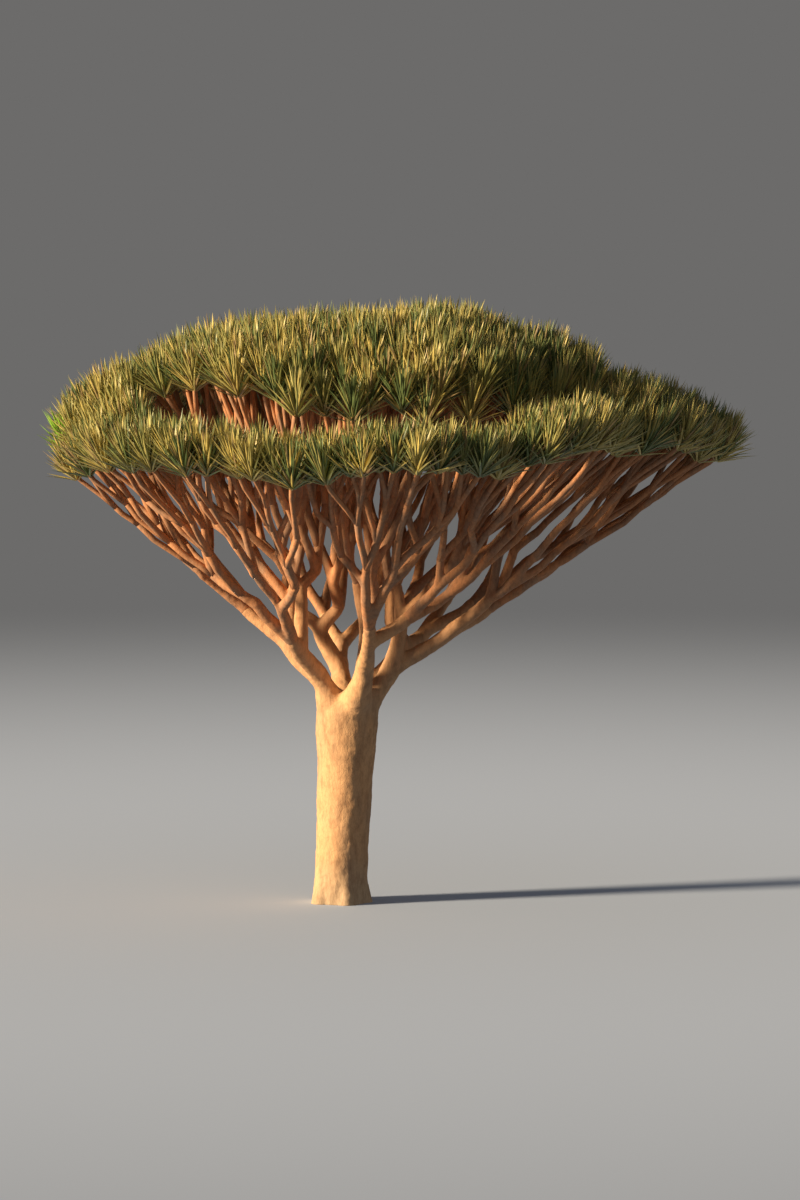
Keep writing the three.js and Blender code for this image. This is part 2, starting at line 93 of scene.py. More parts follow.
class Draw(IntEnum):
    """What each seeded draw is for, so that no two uses share a number."""

    FORK = 1
    SPLIT = 2
    SWAY_TURN = 3
    SWAY_SIZE = 4
    SCATTER_TURN = 5
    SCATTER_SIZE = 6
    TINT = 7
    SPIN = 8
    LEAF_TURN = 40
    LEAF_LEAN = 41
    LEAF_SIZE = 42
    LEAF_BEND = 43
    LEAF_TINT = 44


def draw(key: int | np.ndarray, use: Draw) -> float | np.ndarray:
    """A number from 0 to 1, always the same for one key and one use.

    Args:
        key: The number of a limb, rosette or leaf, or an array of them.
        use: What the draw is for.

    Returns:
        A number, or an array of one for each key.
    """

    def times(value: np.ndarray, factor: int) -> np.ndarray:
        """The product's last 32 bits."""
        return (value * np.uint64(factor)) & LAST_BITS

    mixed = times(np.asarray(key, np.uint64), KEY_FACTOR) ^ times(np.uint64(use), USE_FACTOR)
    for shift, factor in MIXING:
        mixed = times(mixed ^ (mixed >> np.uint64(shift)), factor)
    return (mixed ^ (mixed >> np.uint64(LAST_SHIFT))) / DRAWS


def blend(low: float, high: float, share: float | np.ndarray) -> float | np.ndarray:
    """The value at a share of the way from low to high."""
    return low + (high - low) * share


def angle_apart(a: float, b: float) -> float:
    """The smallest angle between two azimuths."""
    return abs(math.atan2(math.sin(a - b), math.cos(a - b)))


def mean_of(points: Sequence[Vector]) -> Vector:
    """The mean of some points."""
    return sum(points, Vector()) / len(points)


@dataclass(frozen=True)
class Tier:
    """A part of the crown that stands apart, flatter than the dome, with a gap between them."""

    azimuth: float = math.radians(-102)
    gap_width: float = math.radians(50)  # how far to each side of the azimuth the gap is whole
    flat_width: float = math.radians(42)
    fade: float = math.radians(28)  # how far beyond that it runs out
    share: float = 0.73  # of the crown's reach, where the gap is
    gap: float = 0.12  # how wide it is, as a share of the reach
    lift: float = 0.07
    flatness: float = 0.85  # how much of the dome's rise the tier lacks

    def strength(self, azimuth: float, width: float) -> float:
        """How much of the gap, or of the flatness, there is at an azimuth of the crown.

        Args:
            azimuth: The direction from the crown's middle.
            width: How far to each side of the tier's own azimuth the gap or flatness is whole.

        Returns:
            A share from 0 to 1.
        """
        left = width + self.fade - angle_apart(azimuth, self.azimuth)
        share = min(max(left / self.fade, 0.0), 1.0)
        return share * share * (3 - 2 * share)


@dataclass(frozen=True)
class Crown:
    """The dome that the rosettes stand on. Its middle is right of the trunk."""

    middle: tuple[float, float] = (0.64, 0.15)
    reach: float = 3.6
    rim_height: float = 4.68
    rim_tilt: float = 0.06  # how much higher the rim is on the right, and lower on the left
    top: float = 5.9
    fullness: float = 2.1  # a higher power keeps the dome high for longer on the way out
    bluntness: float = 1.1  # a lower power makes it fall more steeply at the rim
    right_fullness: float = 0.1  # added on the right and taken away on the left
    right_bluntness: float = 0.5
    rosettes: int = 560
    scatter: float = 0.065
    dent_azimuth: float = math.radians(-38)  # where the rim draws in and up
    dent_width: float = math.radians(30)
    dent_depth: float = 0.15
    dent_lift: float = 0.2
    tier: Tier = field(default_factory=Tier)

    def dent_at(self, azimuth: float) -> float:
        """How much of the dent there is at an azimuth, from 0 to 1."""
        off = angle_apart(azimuth, self.dent_azimuth) / self.dent_width
        return math.exp(-off * off)

    def height_at(self, share: float, azimuth: float, tier: float) -> float:
        """Height of the dome: blunt on the left, falling like a cone on the right.

        Args:
            share: How far out, as a share of the reach.
            azimuth: The direction from the dome's middle.
            tier: How far the place is a part of the tier, from 0 to 1.

        Returns:
            The height.
        """
        side = math.cos(azimuth)
        fullness = self.fullness + self.right_fullness * side
        bluntness = self.bluntness + self.right_bluntness * side
        rim = self.rim_height + self.rim_tilt * side + self.dent_lift * self.dent_at(azimuth)
        rise = (1 - share**fullness) ** bluntness * (1 - self.tier.flatness * tier)
        return blend(rim, self.top, rise) + self.tier.lift * tier

    def outness(self, place: Vector) -> float:
        """How far out from the crown's middle a place is, as a share of its reach."""
        return (place.xy - Vector(self.middle)).length / self.reach

    def rosette_places(self) -> list[Vector]:
        """Spreads the rosettes evenly over the dome by the golden angle.

        Returns:
            Their middles.
        """
        places = []
        for index in range(self.rosettes):
            azimuth = index * GOLDEN_ANGLE
            share = math.sqrt((index + 0.5) / self.rosettes)
            is_lower = share > self.tier.share
            half_gap = self.tier.gap * self.tier.strength(azimuth, self.tier.gap_width) / 2
            if is_lower:
                past = (share - self.tier.share) / (1 - self.tier.share)
                share = blend(self.tier.share + half_gap, 1, past)
            else:
                share = blend(0, self.tier.share - half_gap, share / self.tier.share)
            reach = self.reach * (1 - self.dent_depth * self.dent_at(azimuth)) * share
            turn = draw(index, Draw.SCATTER_TURN) * 2 * math.pi
            stray = draw(index, Draw.SCATTER_SIZE) * self.scatter
            x = self.middle[0] + math.cos(azimuth) * reach + math.cos(turn) * stray
            y = self.middle[1] + math.sin(azimuth) * reach + math.sin(turn) * stray
            tier = self.tier.strength(azimuth, self.tier.flat_width) if is_lower else 0
            places.append(Vector((x, y, self.height_at(share, azimuth, tier))))
        return places


@dataclass
class Limb:
    """One limb: a curve from where it leaves its parent to where it forks or bears a rosette."""

    number: int
    level: int
    radius: float
    handles: tuple[Vector, Vector, Vector, Vector]  # the curve's start, its two handles and its end
    length: float  # in a straight line
    arriving: Vector  # its direction at the end
    forks: list[Limb] = field(default_factory=list)

    def heading(self, share: float) -> Vector:
        """Direction of the curve.

        Args:
            share: A share of its way.

        Returns:
            The direction there.
        """
        a, b, c, d = self.handles
        rest = 1 - share
        return ((b - a) * rest**2 + (c - b) * (2 * rest * share) + (d - c) * share**2).normalized()

    def point(self, share: float) -> Vector:
        """A point on the curve, or straight on past its end.

        Args:
            share: A share of the curve's way, over 1 for a point past its end.

        Returns:
            The point.
        """
        a, b, c, d = self.handles
        on = min(share, 1.0)
        rest = 1 - on
        place = a * rest**3 + b * (3 * rest**2 * on) + c * (3 * rest * on**2) + d * on**3
        return place + self.heading(1.0) * ((share - on) * self.length)

    def path_length(self, steps: int = 16) -> float:
        """Length along the curve."""
        points = [self.point(step / steps) for step in range(steps + 1)]
        return sum((end - start).length for start, end in zip(points, points[1:]))

    def walk(self) -> Iterator[Limb]:
        """Goes over this limb and all that grows from it.

        Returns:
            The limbs, each before its forks.
        """
        yield self
        for fork in self.forks:
            yield from fork.walk()


@dataclass(frozen=True)
class Growth:
    """The rule that grows the tree: each limb forks in two until every twig feeds one rosette."""

    crown: Crown = field(default_factory=Crown)
    focus: Vector = field(default_factory=lambda: Vector((0.08, 0, 2.05)))  # the crown fans out from here
    boughs: int = 5
    # How far round each bough's sector begins, and the last one ends, as a share of the rosettes.
    sector_edges: tuple[float, ...] = (0, 0.2, 0.37, 0.54, 0.75, 1)
    first_azimuth: float = math.radians(-98)
    bough_offset: float = 0.12  # how far out from the focus the boughs begin
    bough_steepness: float = 0.5
    twig_radius: float = 0.027
    thickening: float = 0.3  # a limb that feeds n rosettes is n to this power times as thick as a twig
    first_fork: float = 0.13
    fork_bend: tuple[float, float] = (0.64, 0.88)  # for limbs to the crown's middle, and to its rim
    fork_scatter: float = 0.055
    uneven_fork: float = 0.16
    outward_first: float = 0.5  # how much more than its true width a spread outwards counts, at a fork
    outlook: float = 1.15  # how soon limbs further out head for the outermost of their rosettes alone
    least_outlook: float = 0.15  # the least share of its rosettes that a limb heads for
    kept_course: float = 0.3  # how far a limb goes on along its parent's course from the focus
    kept_heading: float = 0.5  # of its parent's, that a limb leaves with: less the more it turns
    upturn: float = 0.3
    room_at_wall: float = 1.3
    sway: tuple[float, float] = (0.025, 0.06)
    cushion_level: int = 3  # a mass of leaves stands on each limb of this level, swollen like a cushion
    cushion: float = 0.03

    def radius_for(self, count: int) -> float:
        """Radius of a limb that feeds this many rosettes."""
        return self.twig_radius * count**self.thickening

    def fork_share(self, count: int, number: int, outness: float) -> float:
        """Share of the way from the focus to the dome at which a limb forks.

        Args:
            count: How many rosettes the limb feeds.
            number: The limb's number, which seeds how far the fork strays.
            outness: How far out the place is that the limb heads for.

        Returns:
            The share.
        """
        size = math.log(count) / math.log(self.crown.rosettes / self.boughs)
        scatter = self.fork_scatter * (2 * draw(number, Draw.FORK) - 1)
        return 1 - (1 - self.first_fork) * size ** blend(*self.fork_bend, min(outness, 1.0)) + scatter * size

    def split(self, rosettes: list[Vector], number: int) -> list[tuple[list[Vector], Vector]]:
        """Cuts a limb's rosettes in two by a plane through the focus, across the way that they spread most.

        Args:
            rosettes: The rosettes' places.
            number: The limb's number, which seeds how unequal the two sides are.

        Returns:
            The places on each side, each with the wall that bounds its space.
        """
        mean = mean_of(rosettes)
        middle = mean - self.focus
        outward = Vector((middle.x, middle.y, 0)).normalized()
        offs = [place - mean for place in rosettes]
        x, y, _ = np.array([off + outward * (self.outward_first * off.dot(outward)) for off in offs]).T
        turn = 0.5 * math.atan2(2 * x @ y, x @ x - y @ y)
        across = Vector((math.cos(turn), math.sin(turn), 0))

        def key(place: Vector) -> float:
            """Where the place's ray from the focus lies across the spread."""
            ray = place - self.focus
            return ray.dot(across) / ray.dot(middle)

        places = sorted(rosettes, key=key)
        share = 0.5 + self.uneven_fork * (draw(number, Draw.SPLIT) - 0.5)
        count = min(max(math.floor(len(places) * share + 0.5), 1), len(places) - 1)
        cut = (key(places[count - 1]) + key(places[count])) / 2
        wall = (across - middle * cut).normalized()
        return [(places[:count], -wall), (places[count:], wall)]

    def target(self, rosettes: list[Vector]) -> Vector:
        """The place that a limb heads for: amid its outermost rosettes, of more of them further in.

        Args:
            rosettes: The places of the rosettes that it feeds.

        Returns:
            The place.
        """
        inwards = sorted(rosettes, key=lambda place: -self.crown.outness(place))
        share = max(1 - self.outlook * self.crown.outness(mean_of(rosettes)), self.least_outlook)
        rays = [place - self.focus for place in inwards[: math.ceil(len(inwards) * share)]]
        middle = mean_of(rays)
        level = middle.xy.normalized() * (sum(ray.xy.length for ray in rays) / len(rays))
        return self.focus + Vector((*level, middle.z))

    def swell(self, rosettes: list[Vector]) -> list[Vector]:
        """Swells a mass's rosettes outwards from the focus, most in the middle, so that it is a cushion.

        Args:
            rosettes: The rosettes' places.

        Returns:
            The new places.
        """
        middle = (mean_of(rosettes) - self.focus).normalized()
        rays = [place - self.focus for place in rosettes]
        widest = max(ray.angle(middle) for ray in rays)
        return [
            self.focus + ray * (1 + self.cushion * (1 - 2 * (ray.angle(middle) / widest) ** 2))
            for ray in rays
        ]

    def grow_limb(
        self,
        number: int,
        level: int,
        rosettes: list[Vector],
        start: Vector,
        heading: Vector,
        walls: list[Vector],
    ) -> Limb:
        """Grows a limb and all that grows from it.

        Args:
            number: The limb's own number. Its forks have twice that, and one more.
            level: How many forks it is from the trunk, counted from 1.
            rosettes: The places of the rosettes that it feeds.
            start: Where it leaves its parent.
            heading: Its parent's direction there.
            walls: Normals of the planes through the focus that bound its space.

        Returns:
            The limb.
        """
        places = self.swell(rosettes) if level == self.cushion_level else rosettes
        is_last = len(places) == 1
        radius = self.radius_for(len(places))
        target = self.target(places)
        share = 1.0 if is_last else self.fork_share(len(places), number, self.crown.outness(target))
        end = self.focus.lerp(target, share)
        if level > 1 and not is_last:
            onward = (start - self.focus) * ((end.z - self.focus.z) / (start.z - self.focus.z))
            end = end.lerp(self.focus + onward, self.kept_course)
        for wall in walls:
            room = wall.dot(end - self.focus) - radius * self.room_at_wall
            if room < 0:
                end -= wall * room
        length = (end - start).length
        aim = (end - start).normalized()
        leaving = aim.lerp(heading, self.kept_heading * max(aim.dot(heading), 0)).normalized()
        arriving = (aim + UP * self.upturn).normalized()
        turn = draw(number, Draw.SWAY_TURN) * 2 * math.pi
        aside = Vector((math.cos(turn), math.sin(turn), 0)).cross(aim)
        aside *= length * blend(*self.sway, draw(number, Draw.SWAY_SIZE))
        handles = (start, start + leaving * (length / 3) + aside, end - arriving * (length / 3) + aside, end)
        limb = Limb(number, level, radius, handles, length, arriving)
        if not is_last:
            limb.forks = [
                self.grow_limb(2 * number + side, level + 1, half, end, arriving, [*walls, wall])
                for side, (half, wall) in enumerate(self.split(places, number))
            ]
        return limb

    def grow(self) -> list[Limb]:
        """Grows the boughs, one for each sector round the trunk.

        Returns:
            The boughs.
        """

        def azimuth(place: Vector) -> float:
            """How far round the trunk a place is from where the first sector begins."""
            ray = place - self.focus
            return (math.atan2(ray.y, ray.x) - self.first_azimuth) % (2 * math.pi)

        places = sorted(self.crown.rosette_places(), key=azimuth)
        counts = [round(len(places) * share) for share in self.sector_edges]
        cuts = [(azimuth(places[count - 1]) + azimuth(places[count])) / 2 for count in counts[1:-1]]
        edges = [self.first_azimuth + cut for cut in (0, *cuts, 2 * math.pi)]
        limbs = []
        for index in range(self.boughs):
            low, high = edges[index : index + 2]
            middle = (low + high) / 2
            outward = Vector((math.cos(middle), math.sin(middle), 0))
            walls = [
                Vector((-math.sin(low), math.cos(low), 0)),
                Vector((math.sin(high), -math.cos(high), 0)),
            ]
            limbs.append(
                self.grow_limb(
                    self.boughs + index,
                    1,
                    places[counts[index] : counts[index + 1]],
                    self.focus + outward * self.bough_offset,
                    (outward + UP * self.bough_steepness).normalized(),
                    walls,
                )
            )
        return limbs


def deselect() -> None:
    """Leaves nothing selected, also of the CAD nodes that loading selects."""
    bpy.ops.object.select_all(action="DESELECT")


def pick(piece: bpy.types.Object) -> None:
    """Leaves one object alone selected, and active.

    Args:
        piece: The object.
    """
    deselect()
    piece.select_set(True)
    bpy.context.view_layer.objects.active = piece


def finish_with(piece: bpy.types.Object, kind: str, **settings: object) -> None:
    """Adds a modifier with its settings and applies it.

    Args:
        piece: The object.
        kind: The modifier's type.
        settings: The modifier's settings, by name.
    """
    pick(piece)
    modifier = piece.modifiers.new(kind.title(), kind)
    for name, value in settings.items():
        setattr(modifier, name, value)
    bpy.ops.object.modifier_apply(modifier=modifier.name)


def extrude_stem(
    name: str, sides: int, rings: Sequence[tuple[Vector, float]], pointed: bool = False
) -> bpy.types.Object:
    """Extrudes a stem ring by ring from a filled circle, so that it is closed at both ends.

    Args:
        name: The new object's name.
        sides: How many sides the stem has.
        rings: The centre and radius of each ring, from the foot up.
        pointed: Whether the last ring is drawn together into a point.

    Returns:
        The stem.
    """
    deselect()
    centre, radius = rings[0]
    bpy.ops.mesh.primitive_circle_add(vertices=sides, radius=radius, fill_type="NGON", enter_editmode=True)
    bpy.ops.transform.translate(value=centre)
    for next_centre, next_radius in rings[1:]:
        bpy.ops.mesh.extrude_region_move(TRANSFORM_OT_translate={"value": next_centre - centre})
        share = next_radius / radius
        bpy.ops.transform.resize(value=(share, share, 1), center_override=next_centre)
        centre, radius = next_centre, next_radius
    if pointed:
        bpy.ops.mesh.merge(type="CENTER")
    bpy.ops.mesh.select_all(action="SELECT")
    bpy.ops.mesh.normals_make_consistent(inside=False)
    bpy.ops.object.mode_set(mode="OBJECT")
    stem = bpy.context.object
    stem.name = name
    return stem


def straight(rings: Sequence[tuple[float, float]]) -> list[tuple[Vector, float]]:
    """The rings of a stem that stands straight up, from their heights and radii."""
    return [(Vector((0, 0, height)), radius) for height, radius in rings]


def lay_along(stem: bpy.types.Object, limb: Limb) -> None:
    """Bends a stem onto a limb's curve.

    Args:
        stem: The stem, which stands on the origin and is as long as the curve.
        limb: The limb.
    """
    deselect()
    bpy.ops.curve.primitive_bezier_curve_add()
    line = bpy.context.object
    a, b, c, d = limb.handles
    ends = ((a, 2 * a - b, b), (d, c, 2 * d - c))
    for knot, (place, before, after) in zip(line.data.splines[0].bezier_points, ends):
        knot.handle_left_type = knot.handle_right_type = "FREE"
        knot.co, knot.handle_left, knot.handle_right = place, before, after
    finish_with(stem, "CURVE", object=line, deform_axis="POS_Z")
    bpy.data.objects.remove(line)


def join(pieces: Sequence[bpy.types.Object], name: str) -> bpy.types.Object:
    """Joins some objects into one.

    Args:
        pieces: The objects.
        name: The name of the one that they become.

    Returns:
        The joined object.
    """
    pick(pieces[0])
    for piece in pieces:
        piece.select_set(True)
    bpy.ops.object.join()
    joined = bpy.context.object
    joined.name = joined.data.name = name
    return joined


@dataclass(frozen=True)
class Pattern:
    """A small shape that was modelled once: its points and its triangles."""

    points: np.ndarray
    triangles: np.ndarray

    @classmethod
    def taken_from(cls, piece: bpy.types.Object) -> Pattern:
        """Reads a modelled object, and removes it.

        Args:
            piece: The object.

        Returns:
            The pattern.
        """
        mesh = piece.data
        mesh.calc_loop_triangles()
        points = np.array([vertex.co for vertex in mesh.vertices])
        triangles = np.array([triangle.vertices for triangle in mesh.loop_triangles])
        bpy.data.objects.remove(piece)
        bpy.data.meshes.remove(mesh)
        return cls(points, triangles)

    def copies(self, name: str, places: np.ndarray) -> bpy.types.Object:
        """Joins copies of the shape into one object.

        Args:
            name: The new object's name.
            places: Where each copy has its points: an array of copies, points and coordinates.

        Returns:
            The object.
        """
        first = np.arange(len(places)) * len(self.points)
        triangles = self.triangles[None] + first[:, None, None]
        mesh = bpy.data.meshes.new(name)
        mesh.from_pydata(places.reshape(-1, 3).tolist(), [], triangles.reshape(-1, 3).tolist())
        piece = bpy.data.objects.new(name, mesh)
        bpy.context.scene.collection.objects.link(piece)
        return piece


@dataclass(frozen=True)
class Relief:
    """One layer of the bark's relief: soft lumps, or folds where they are lower than wide."""

    width: float
    height: float
    depth: float
    detail: int = 2

    def press(self, piece: bpy.types.Object) -> None:
        """Displaces an object's surface in and out by half the depth.

        Args:
            piece: The object.
        """
        texture = bpy.data.textures.new("relief", "CLOUDS")
        texture.noise_scale = 1
        texture.noise_depth = self.detail
        deselect()
        bpy.ops.object.empty_add()
        grain = bpy.context.object
        grain.scale = (self.width, self.width, self.height)
        bpy.context.view_layer.update()
        finish_with(
            piece,
            "DISPLACE",
            texture=texture,
            texture_coords="OBJECT",
            texture_coords_object=grain,
            strength=self.depth,
            mid_level=0.5,
        )
        bpy.data.objects.remove(grain)


@dataclass(frozen=True)
class Fusing:
    """How overlapping stems are fused into one skin: remeshed, softened at the forks and given relief."""

    voxel: float
    softening: int
    reliefs: tuple[Relief, ...]
    # Heights between which the skin is softened more, and how much of that there is at each.
    flowing: tuple[tuple[float, float], ...] = ()
    flow: int = 40

    def fuse(self, piece: bpy.types.Object) -> None:
        """Fuses the stems of a joined object.

        Args:
            piece: The object.
        """
        finish_with(piece, "REMESH", mode="VOXEL", voxel_size=self.voxel)
        finish_with(piece, "SMOOTH", factor=0.5, iterations=self.softening)
        if self.flowing:
            self.let_flow(piece)
        for relief in self.reliefs:
            relief.press(piece)

    def let_flow(self, piece: bpy.types.Object) -> None:
        """Softens the skin between the heights where its stems flow into one another.

        Args:
            piece: The skin.
        """
        heights, amounts = zip(*self.flowing)
        group = piece.vertex_groups.new(name="flowing")
        for vertex in piece.data.vertices:
            if heights[0] < vertex.co.z < heights[-1]:
                group.add([vertex.index], float(np.interp(vertex.co.z, heights, amounts)), "REPLACE")
        finish_with(piece, "SMOOTH", factor=0.5, iterations=self.flow, vertex_group=group.name)


def triangles_in(piece: bpy.types.Object) -> int:
    """How many triangles an object's mesh has."""
    return sum(polygon.loop_total - 2 for polygon in piece.data.polygons)


def set_down(
    piece: bpy.types.Object, stands_for: Sequence[str], material: bpy.types.Material
) -> None:
    """Gives a finished piece its material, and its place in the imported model.

    Args:
        piece: The piece.
        stands_for: The CAD nodes that it replaces.
        material: Its material.
    """
    piece.data.materials.clear()
    piece.data.materials.append(material)
    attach(piece, "root")
    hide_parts(*stands_for)
    LOG.info("%s: %d triangles, in place of %d nodes", piece.name, triangles_in(piece), len(stands_for))


@dataclass(frozen=True)
class TrunkAndBoughs:
    """The trunk and the boughs as far as their third forks, as one fused skin with the bark's relief."""

    lean: float = 0.08  # how far the head stands to the right of the foot
    waist: float = 0.276
    head: float = 0.332
    dome: float = 0.18
    # How far the radius is beyond the waist's, and at what height.
    swells: tuple[tuple[float, float], ...] = (
        (0.014, 0),
        (0.012, 0.06),
        (0.01, 0.13),
        (0.005, 0.26),
        (0, 0.56),
        (0.008, 1.05),
        (0.024, 1.5),
        (0.048, 1.82),
    )
    head_turns: tuple[float, ...] = tuple(math.radians(turn) for turn in (-8, 16, 38, 62))
    trunk_sides: int = 48
    below_ground: float = 0.08  # cut off level once the skin is fused
    cut_tolerance: float = 1e-6
    buttresses: int = 5
    # How far out a buttress has its middle, how high, and how thick it is there.
    buttress_rings: tuple[tuple[float, float, float], ...] = (
        (0.235, -0.08, 0.13),
        (0.225, 0.03, 0.112),
        (0.2, 0.2, 0.1),
        (0.16, 0.5, 0.09),
    )
    buttress_sides: int = 16
    last_level: int = 3
    bough_sides: int = 16
    bough_rings: int = 9
    # Share of a bough's way, and how thick it is there beside its own radius.
    first_profile: tuple[tuple[float, float], ...] = ((0, 1.7), (0.3, 1.6), (0.66, 1.16), (1, 0.9))
    fork_profile: tuple[tuple[float, float], ...] = ((0, 1.08), (0.16, 1.04), (0.6, 0.97), (1, 0.89))
    fusing: Fusing = Fusing(
        voxel=0.0155,
        softening=7,
        reliefs=(Relief(0.3, 0.42, 0.03), Relief(0.13, 0.05, 0.008), Relief(0.03, 0.09, 0.006)),
        flowing=((1.7, 0), (1.95, 1), (2.4, 1), (2.65, 0.4), (3.3, 0)),
    )

    def raise_trunk(self, focus: Vector) -> bpy.types.Object:
        """Extrudes the trunk from below the ground to its rounded head.

        Args:
            focus: The point in the head from which the crown fans out.

        Returns:
            The trunk.
        """
        slope = Vector((self.lean / focus.z, 0, 1))
        rings = [(slope * -self.below_ground, self.waist + self.swells[0][0])]
        rings += [(slope * height, self.waist + beyond) for beyond, height in self.swells]
        for turn in self.head_turns:
            rings.append((slope * (focus.z + self.dome * math.sin(turn)), self.head * math.cos(turn)))
        return extrude_stem("trunk", self.trunk_sides, rings)

    def raise_buttress(self, index: int) -> bpy.types.Object:
        """Extrudes one of the low buttresses of the foot, leaning in to the trunk.

        Args:
            index: Which of them it is, counted from 0.

        Returns:
            The buttress.
        """
        azimuth = index * 2 * math.pi / self.buttresses
        rings = [
            (Vector((math.cos(azimuth) * out, math.sin(azimuth) * out, height)), radius)
            for out, height, radius in self.buttress_rings
        ]
        return extrude_stem(f"buttress_{index + 1}", self.buttress_sides, rings)

    def raise_bough(self, limb: Limb) -> bpy.types.Object:
        """Extrudes one bough and bends it onto its curve.

        Args:
            limb: The limb that it follows.

        Returns:
            The bough.
        """
        profile = self.first_profile if limb.level == 1 else self.fork_profile
        shares, sizes = zip(*profile)
        path = limb.path_length()
        rings = [
            (path * share, limb.radius * float(np.interp(share, shares, sizes)))
            for share in np.linspace(0, 1, self.bough_rings)
        ]
        rings += [(path + beyond * limb.radius, limb.radius * size) for beyond, size in ROUND_END]
        bough = extrude_stem(f"bough_{limb.number}", self.bough_sides, straight(rings))
        lay_along(bough, limb)
        return bough

    def cut_level(self, piece: bpy.types.Object) -> None:
        """Cuts off what is below the ground, and closes the cut.

        Args:
            piece: The skin.
        """
        pick(piece)
        bpy.ops.object.mode_set(mode="EDIT")
        bpy.ops.mesh.select_all(action="SELECT")
        bpy.ops.mesh.bisect(
            plane_co=(0, 0, 0), plane_no=UP, use_fill=True, clear_inner=True, threshold=self.cut_tolerance
        )
        bpy.ops.object.mode_set(mode="OBJECT")

    def build(self, growth: Growth, limbs: Sequence[Limb]) -> bpy.types.Object:
        """Builds the skin.

        Args:
            growth: The rule that grew the limbs.
            limbs: All the limbs of the tree.

        Returns:
            The finished mesh, still without a material.
        """
        parts = [self.raise_trunk(growth.focus)]
        parts += [self.raise_buttress(index) for index in range(self.buttresses)]
        parts += [self.raise_bough(limb) for limb in limbs if limb.level <= self.last_level]
        skin = join(parts, "trunk_and_boughs")
        self.fusing.fuse(skin)
        self.cut_level(skin)
        pick(skin)
        bpy.ops.object.shade_smooth()
        return skin


@dataclass(frozen=True)
class Tubes:
    """Limbs too many to model one by one: a stem is modelled once and laid along each of them."""

    sides: int
    # Share of the limb's way, and how thick it is there beside its own radius.
    profile: tuple[tuple[float, float], ...]
    least_level: float = 0.1  # a limb that is steeper than this has no level direction of its own

    def rings_of(self, limb: Limb) -> tuple[np.ndarray, np.ndarray]:
        """The rings of a limb.

        Args:
            limb: The limb.

        Returns:
            The middle of each ring, and its two half axes, which are square to the limb.
        """
        shares = [share for share, _ in self.profile]
        shares += [1 + beyond * limb.radius / limb.length for beyond, _ in ROUND_END]
        sizes = [size for _, size in (*self.profile, *ROUND_END)]
        level = UP.cross(limb.arriving)
        level = level.normalized() if level.length > self.least_level else Vector((1, 0, 0))
        middles = np.array([limb.point(share) for share in shares])
        axes = []
        for share, size in zip(shares, sizes):
            heading = limb.heading(min(share, 1.0))
            across = level.cross(heading).normalized()
            axes.append((across * limb.radius * size, heading.cross(across) * limb.radius * size))
        return middles, np.array(axes)

    def build(self, name: str, limbs: Sequence[Limb]) -> bpy.types.Object:
        """Builds all the limbs as one object.

        Args:
            name: The object's name.
            limbs: The limbs.

        Returns:
            The object, still without a material.
        """
        rings = [(height, 1) for height in range(len(self.profile) + len(ROUND_END))]
        pattern = Pattern.taken_from(extrude_stem("stem", self.sides, straight(rings)))
        ring = np.rint(pattern.points[:, 2]).astype(int)
        places = []
        for limb in limbs:
            middles, axes = self.rings_of(limb)
            spokes = np.einsum("vk,vkc->vc", pattern.points[:, :2], axes[ring])
            places.append(middles[ring] + spokes)
        return pattern.copies(name, np.array(places))


@dataclass(frozen=True)
class Branches:
    """The branches inside the crown, fused into a skin, and the twigs from them to the rosettes."""

    levels: tuple[int, int] = (4, 5)
    right_boughs: int = 3  # round from the front, this many of the boughs are the tree's right side
    branch_tubes: Tubes = Tubes(10, ((0, 1.08), (0.16, 1.04), (0.4, 0.98), (0.7, 0.94), (1, 0.9)))
    twig_tubes: Tubes = Tubes(6, ((0, 1.06), (0.3, 1), (0.7, 0.94), (1, 1)))
    fusing: Fusing = Fusing(
        voxel=0.0132,
        softening=6,
        reliefs=(Relief(0.12, 0.2, 0.012), Relief(0.05, 0.03, 0.005)),
    )

    def build_branches(self, name: str, limbs: Sequence[Limb]) -> bpy.types.Object:
        """Builds the branches among some limbs.

        Args:
            name: The name of the piece that they become.
            limbs: The limbs.

        Returns:
            Their skin, still without a material.
        """
        low, high = self.levels
        skin = self.branch_tubes.build(name, [limb for limb in limbs if low <= limb.level <= high])
        self.fusing.fuse(skin)
        pick(skin)
        bpy.ops.object.shade_smooth()
        return skin

    def build_twigs(self, limbs: Sequence[Limb]) -> bpy.types.Object:
        """Builds the twigs.

        Args:
            limbs: All the limbs of the tree.

        Returns:
            The twigs as one piece, still without a material.
        """
        twigs = self.twig_tubes.build("twigs", [limb for limb in limbs if limb.level > self.levels[1]])
        pick(twigs)
        bpy.ops.object.shade_smooth()
        return twigs


class Tint(Enum):
    """The tints of the leaves, each with its sRGB colour and its share of the crown; one is painted shade,
    one painted highlight.
    """

    # painted shade: a darker, greener copy of the olive leaf colour, dealt at random among the rosettes
    PAINTED_SHADE = ("#66784A", 0.24)
    OLIVE = ("#8E9157", 0.26)
    # painted highlight: a lighter, sunlit copy of the olive leaf colour, dealt at random among the rosettes
    SUNLIT = ("#B2AA68", 0.26)
    YELLOWING = ("#C9B86C", 0.16)
    DRY = ("#AA9469", 0.08)
    FRESH = ("#8FBC3C", 0.0)  # one young rosette, at the tip of the crown's left side

    @property
    def colour(self) -> str:
        """The colour, as an sRGB hex value."""
        return self.value[0]

    @property
    def share(self) -> float:
        """The share of the leaves that have it."""
        return self.value[1]


